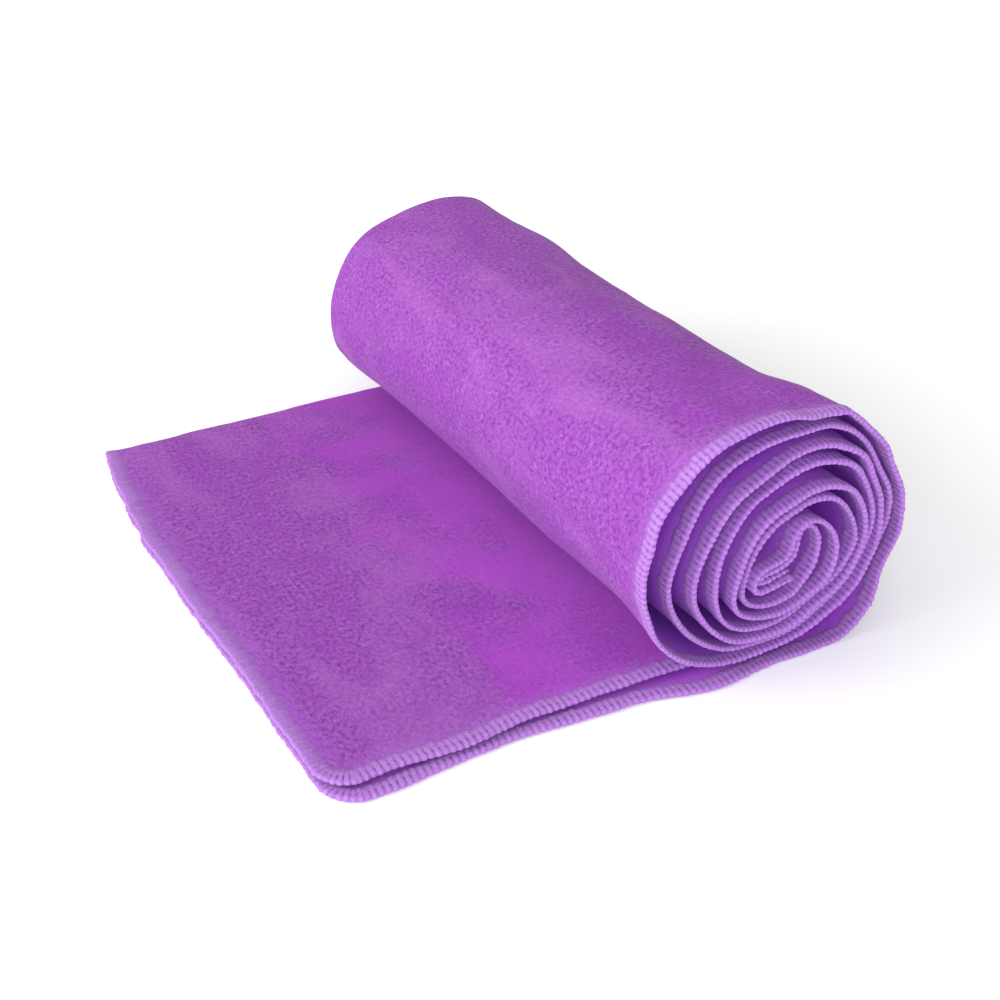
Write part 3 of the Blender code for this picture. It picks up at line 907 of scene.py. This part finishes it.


def suede_colour(n, cloth):
    """The brushed cloth's colour and its height, from places on the cloth in mm."""
    grain = n.noise(cloth, 2.0, 2.0, 0.6)
    tufts = n.noise(n.stretch(cloth, (1.0, 0.7, 1.0)), 0.7, 3.0, 0.65, 0.2)
    blotches = n.noise(cloth, 0.11, 4.0, 0.6, 0.6)
    brushed = n.noise(n.stretch(cloth, (1.0, 0.4, 1.0), 0.6), 0.035, 3.0, 0.55, 0.8)
    tone = n.math("ADD", n.math("MULTIPLY", grain, 0.4), n.math("MULTIPLY", tufts, 0.6))
    colour = n.mix(n.span(tone, 0.375, 0.625), NAP_DARK, NAP_LIGHT)
    colour = n.mix(n.span(blotches, 0.38, 0.66, 0.0, 0.42), colour, NAP_BLOTCH)
    colour = n.mix(n.span(brushed, 0.5, 0.66, 0.0, 0.45), colour, NAP_BRUSHED_UP)
    colour = n.mix(n.span(brushed, 0.48, 0.34, 0.0, 0.45), colour, NAP_BRUSHED_DOWN)
    return colour, tone


def suede():
    """Brushed microfibre. "edge" is 1 beside the hem and "deep" is 1 inside the roll, where painted light
    and a faint painted glow are put on.
    """
    n = Nodes("suede_nap")
    cloth = n.attribute("cloth")
    colour, tone = suede_colour(n, cloth)
    edge = n.attribute("edge", "Fac")
    fuzz = n.noise(n.stretch(cloth, (1.0, 0.4, 1.0)), 0.9, 3.0, 0.6)
    # the nap lies flat and shines less beside the roll: its colour there is more saturated, and painted
    # lighter against the shade beside the roll
    length = n.part(cloth, "X")
    length = n.math("ADD", length, n.span(n.noise(cloth, 0.03, 3.0), 0.3, 0.7, -35.0, 35.0))
    before = n.span(length, 66.0, 116.0)
    beyond = n.span(length, 210.0, 180.0)
    pressed_and_lit = n.math("MULTIPLY", n.math("MULTIPLY", before, beyond), 0.7)
    colour = n.mix(pressed_and_lit, colour, NAP_PRESSED_AND_LIT)
    deep = n.attribute("deep", "Fac")
    # painted light in the shade: inside the roll and between the plies the colour turns lighter and more
    # violet
    colour = n.mix(n.math("MULTIPLY", deep, 0.6), colour, NAP_PAINTED_GAP_LIGHT)
    near_hem = n.math("MULTIPLY", edge, n.span(fuzz, 0.3, 0.65), clamp=True)
    colour = n.mix(near_hem, colour, HEM_MIDDLE)
    return n.finish(
        Base_Color=colour,
        Roughness=n.span(tone, 0.3, 0.7, 0.95, 0.8),
        Normal=n.bump(tone, 0.0004, 0.45),
        Sheen_Weight=0.12,
        Sheen_Roughness=0.4,
        Sheen_Tint=(0.85, 0.5, 1.0, 1.0),
        Subsurface_Weight=0.3,
        Subsurface_Radius=(1.0, 0.25, 1.4),
        Subsurface_Scale=0.002,
        Specular_IOR_Level=0.15,
        # painted glow inside the roll, standing in for light that comes through the cloth
        Emission_Color=PAINTED_GLOW,
        Emission_Strength=n.math("MULTIPLY", deep, 0.02),
    )


def overlock():
    """The hem's thread. "crown" is 1 on top of a stitch, which is painted lighter, and "pit" is 1 in a
    needle hole, which is painted dark as shade.
    """
    n = Nodes("overlock_thread")
    cloth = n.attribute("cloth")
    crown = n.attribute("crown", "Fac")
    pit = n.attribute("pit", "Fac")
    inward = n.part(cloth, "Y")
    fluff = n.noise(n.stretch(cloth, (1.0, 0.4, 1.0)), 2.4, 3.0, 0.65)
    wisps = n.noise(n.stretch(cloth, (1.0, 0.5, 1.0)), 0.8, 3.0, 0.6)
    # stitch crowns painted lighter and the valleys between them darker, as painted light and shade, mixed
    # with the thread's random fluff tone
    shade = n.math("ADD", n.math("MULTIPLY", crown, 0.35), n.math("MULTIPLY", fluff, 0.9))
    colour = n.mix(n.span(shade, 0.3, 0.95), HEM_DARK, HEM_BRIGHT)
    colour = n.mix(n.span(wisps, 0.35, 0.7, 0.0, 0.45), colour, HEM_MIDDLE)
    plain, _ = suede_colour(n, cloth)
    depth = n.math("ADD", n.math("ABSOLUTE", inward), n.span(wisps, 0.3, 0.7, -1.3, 1.3))
    colour = n.mix(n.span(depth, 4.6, 7.2, 0.0, 0.75), colour, plain)
    # painted shade in the needle holes
    colour = n.mix(n.span(pit, 0.12, 0.8), colour, HEM_PIT_SHADE)
    return n.finish(
        Base_Color=colour,
        Roughness=0.88,
        Normal=n.bump(fluff, 0.0004, 0.8),
        Sheen_Weight=0.12,
        Sheen_Roughness=0.5,
        Sheen_Tint=(0.85, 0.55, 1.0, 1.0),
        Subsurface_Weight=0.3,
        Subsurface_Radius=(1.0, 0.4, 1.4),
        Subsurface_Scale=0.0015,
        Specular_IOR_Level=0.15,
        # painted glow inside the roll, standing in for light that comes through the thread
        Emission_Color=PAINTED_GLOW,
        Emission_Strength=n.math("MULTIPLY", n.attribute("deep", "Fac"), 0.03),
    )


def floor_finish():
    """Matt white that glows more away from the towel, so that it is as white as the backdrop."""
    n = Nodes("studio_floor")
    place = n.add("ShaderNodeNewGeometry").outputs["Position"]
    away = n.add("ShaderNodeVectorMath", {0: place}, operation="LENGTH").outputs["Value"]
    return n.finish(
        Base_Color=(0.89, 0.91, 0.89, 1.0),
        Roughness=0.6,
        Emission_Color=(1.0, 1.0, 0.98, 1.0),
        Emission_Strength=n.span(away, 0.15, 0.7, 0.15, 0.7),
    )


# ---- the towel -------------------------------------------------------------------------------------------


PANEL_ROWS = 13
CORNER_ROWS = 17
SHORTEST_ROW = 0.2  # mm between the first two rows of the end
TAIL_SPACING = 2.8  # of points in the middle of the upper ply
ROLL_SPACING = 6.0  # the same where it is out of sight


def end_rows():
    """Stations of the end's rows and how far each stays in from the raw edges, round the corners."""
    start = flat_station(SPLIT_X[-1])
    inner = CORNER_R - EDGE_INSET
    angles = np.radians(np.linspace(0.0, 90.0, CORNER_ROWS))
    curved = flat_station(TAIL_END_X) + CORNER_R - inner * np.sin(angles)
    trims = CORNER_R - inner * np.cos(angles)
    stations = np.concatenate([[start], curved[curved < start - SHORTEST_ROW]])
    return stations[::-1], list(np.interp(stations, curved[::-1], trims[::-1])[::-1])


def build_cloth(material):
    """The roll's piece, then one piece from each panel's middle to the next, then the end."""
    stations = stations_between(flat_station(SPLIT_X[0]), CORE_RIM)
    pieces = [cloth_body("roll_suede", stations, across_places(ROLL_SPACING), material)]
    across = across_places(TAIL_SPACING)
    for k, (right, left) in enumerate(zip(SPLIT_X, SPLIT_X[1:])):
        stations = np.linspace(flat_station(right), flat_station(left), PANEL_ROWS)[::-1]
        pieces.append(cloth_body(f"tail_suede_{k + 1}", stations, across, material))
    stations, trims = end_rows()
    pieces.append(cloth_body("tail_suede_end", stations, across, material, trims))
    return pieces


def long_edge_hems(upper, step, material):
    """The thread along one long edge: the roll's piece, then one from each panel's middle to the next."""
    side = "upper" if upper else "lower"
    line = UPPER if upper else LOWER
    marks = [float(line.at(flat_station(x))) for x in SPLIT_X]
    spans = [("roll", marks[0], float(line.at(CORE_RIM)))]
    spans += [(f"tail_{k + 1}", marks[k + 1], marks[k]) for k in range(PANELS)]
    pieces = []
    for label, first, last in spans:
        run = np.linspace(first, last, int(round((last - first) / step)) + 1)
        name = f"{label}_thread_{side}"
        clear = np.ones_like(run)
        path = long_edge(upper, run)
        pieces.append(hem_body(name, path, run, stitches(run), clear, 1 + upper, material))
    return pieces


def build_hems(material):
    step = ROLL_STITCH / STITCH_SAMPLES
    pieces = long_edge_hems(False, step, material) + long_edge_hems(True, step, material)
    run = np.linspace(0.0, END_RUN, int(END_RUN / step))
    past_corner = np.minimum(run, END_RUN - run) - END_STRAIGHT - BLURRED_FROM
    clear = mixed(1.0, BLURRED, ease(past_corner / BLURRED_OVER))
    pieces.append(hem_body("end_thread", end_path(run), run, run / TAIL_STITCH, clear, 3, material))
    run = np.linspace(0.0, ACROSS, int(ACROSS / step))
    clear = np.ones_like(run)
    pieces.append(hem_body("core_thread", core_path(run), run, run / ROLL_STITCH, clear, 4, material))
    return pieces


def panel_number(label):
    """The number in a piece's name, or None for the roll, the core and the end."""
    return next((int(word) for word in label.split("_") if word.isdigit()), None)


def attach(pieces):
    """The roll's, the core's and the end's pieces move with their bodies. A piece that spans the middles of
    two bodies only has its placement baked into its points.
    """
    bodies = ["roll"] + [f"tail_{k + 1}" for k in range(PANELS)]
    for piece in pieces:
        number = panel_number(piece.name)
        if number is not None:
            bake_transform(piece)
        elif "end" in piece.name:
            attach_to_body(piece, bodies[-1])
        else:
            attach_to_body(piece, bodies[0])


STANDS_FOR = {
    "roll_suede": "roll_cloth",
    "roll_thread_lower": "roll_hem_lower",
    "roll_thread_upper": "roll_hem_upper",
    "core_thread": "core_end_hem",
    "tail_suede_end": f"tail_cloth_{PANELS}",
    "end_thread": "tail_end_hem",
}


def stand_in(pieces):
    """Hides the CAD nodes that the pieces stand for."""
    for piece in pieces:
        label = piece.name
        number = panel_number(label)
        soft = "suede" in label
        if number is None:
            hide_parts(STANDS_FOR[label])
        elif number < PANELS:
            kind = "cloth" if soft else f"hem_{label.split('_')[-1]}"
            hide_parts(f"tail_{kind}_{number}")


# ---- the studio ------------------------------------------------------------------------------------------


# In metres and watts
FLOOR_REACH = 4.0
FLOOR_HEIGHT = -0.0003  # just under the cloth
BACKDROP = (1.0, 0.99, 1.0, 1.0)
BRIGHT_SIDE = (-0.88, -0.3, 0.3)
BRIGHTEST = 1.3
DIMMEST = 0.05
LIT_PLACE = (-0.02, 0.0, 0.03)
KEY = {"place": (-1.0, 0.05, 0.55), "size": 0.6, "power": 5.5, "colour": (1.0, 0.95, 0.97)}
FILL = {"place": (-0.5, -0.8, 0.4), "size": 0.5, "power": 4.2, "colour": (0.85, 0.8, 1.0)}

CAMERA_AZIMUTH = math.radians(-27.70)
CAMERA_ELEVATION = math.radians(29.07)
CAMERA_DISTANCE = 0.6105
CAMERA_TARGET = Vector((-0.0275, 0.0135, 0.0))
CAMERA_LENS = 54.73  # mm, with a sensor this wide
CAMERA_SENSOR = 36.0


def area_light(name, place, size, power, colour):
    data = bpy.data.lights.new(name, "AREA")
    data.shape = "DISK"
    data.size = size
    data.energy = power
    data.color = colour
    light = bpy.data.objects.new(name, data)
    light.location = place
    light.rotation_euler = (Vector(LIT_PLACE) - Vector(place)).to_track_quat("-Z", "Y").to_euler()
    bpy.context.scene.collection.objects.link(light)


def build_floor():
    r = FLOOR_REACH
    mesh = bpy.data.meshes.new("floor")
    mesh.from_pydata([(-r, -r, 0.0), (r, -r, 0.0), (r, r, 0.0), (-r, r, 0.0)], [], [(0, 1, 2, 3)])
    mesh.materials.append(floor_finish())
    floor = bpy.data.objects.new("floor", mesh)
    floor.location.z = FLOOR_HEIGHT
    bpy.context.scene.collection.objects.link(floor)


def build_world():
    """Light that is brighter from the left and the front. The backdrop that the camera sees is white."""
    world = bpy.data.worlds.new("studio")
    bpy.context.scene.world = world
    world.use_nodes = True
    nodes = world.node_tree.nodes
    links = world.node_tree.links
    background = nodes["Background"]
    background.inputs["Color"].default_value = BACKDROP
    heading = nodes.new("ShaderNodeTexCoord")
    toward = nodes.new("ShaderNodeVectorMath")
    toward.operation = "DOT_PRODUCT"
    toward.inputs[1].default_value = BRIGHT_SIDE
    strength = nodes.new("ShaderNodeMapRange")
    strength.inputs["From Min"].default_value = -1.0
    strength.inputs["From Max"].default_value = 1.0
    strength.inputs["To Min"].default_value = DIMMEST
    strength.inputs["To Max"].default_value = BRIGHTEST
    ray = nodes.new("ShaderNodeLightPath")
    seen = nodes.new("ShaderNodeMix")
    seen.inputs["B"].default_value = 1.0
    links.new(heading.outputs["Generated"], toward.inputs[0])
    links.new(toward.outputs["Value"], strength.inputs["Value"])
    links.new(ray.outputs["Is Camera Ray"], seen.inputs["Factor"])
    links.new(strength.outputs["Result"], seen.inputs["A"])
    links.new(seen.outputs["Result"], background.inputs["Strength"])


def build_studio():
    build_floor()
    bpy.context.scene.view_settings.view_transform = "Standard"
    build_world()
    area_light("key", **KEY)
    area_light("fill", **FILL)


def build_camera():
    level = math.cos(CAMERA_ELEVATION)
    x = math.sin(CAMERA_AZIMUTH) * level
    y = -math.cos(CAMERA_AZIMUTH) * level
    back = Vector((x, y, math.sin(CAMERA_ELEVATION)))
    data = bpy.data.cameras.new("camera")
    data.lens = CAMERA_LENS
    data.sensor_width = CAMERA_SENSOR
    camera = bpy.data.objects.new("camera", data)
    camera.location = CAMERA_TARGET + back * CAMERA_DISTANCE
    camera.rotation_euler = back.to_track_quat("Z", "Y").to_euler()
    bpy.context.scene.collection.objects.link(camera)
    bpy.context.scene.camera = camera


towel = build_cloth(suede()) + build_hems(overlock())
attach(towel)
stand_in(towel)
build_studio()
build_camera()
